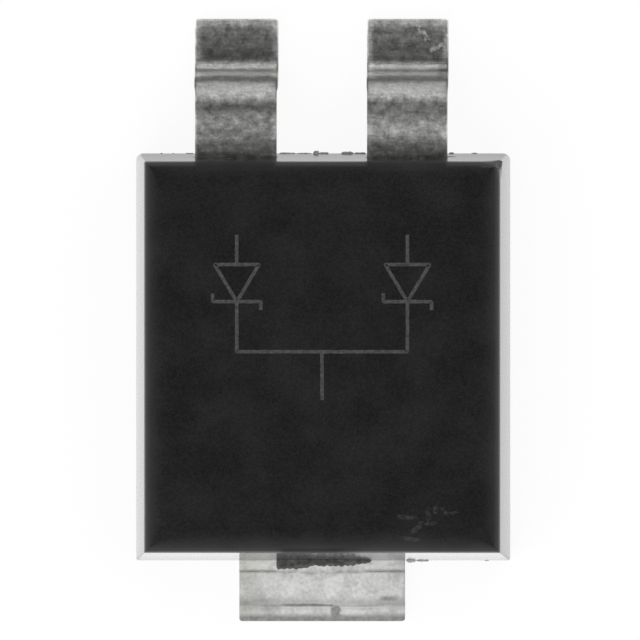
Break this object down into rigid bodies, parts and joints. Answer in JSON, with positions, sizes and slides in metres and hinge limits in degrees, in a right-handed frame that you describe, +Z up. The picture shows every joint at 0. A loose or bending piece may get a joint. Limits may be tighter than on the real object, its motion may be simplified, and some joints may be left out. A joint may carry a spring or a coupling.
{
  "type": "schottky diode",
  "caption": "Flat surface-mount Schottky rectifier: black moulded body over a bare heat sink, with a solder tab at one end and stepped leads at the other.",
  "frame": {"origin": "middle of the whole footprint, on the plane of the board", "axes": "+Z up out of the board, +Y from the solder tab towards the leads, +X to the right as the picture shows it"},
  "size_m": [0.004, 0.0066, 0.0011],
  "materials": {
    "moulding_compound": "matt black epoxy with a fine mould texture and a few pale scuffs",
    "plated_heat_sink": "matt tin plate over copper, pale and finely grained",
    "plated_lead": "tin plate over copper, grey, mottled and rubbed",
    "silicon": "grey silicon with sawn edges and a metallised top",
    "solder": "satin soft solder"
  },
  "bodies": {
    "root": {"heat_sink": "plated_heat_sink", "left_anode_lead": "plated_lead", "right_anode_lead": "plated_lead", "left_die": "silicon", "right_die": "silicon", "left_die_solder": "solder", "right_die_solder": "solder", "left_contact_solder": "solder", "right_contact_solder": "solder", "moulded_body": "moulding_compound"}
  },
  "joints": []
}
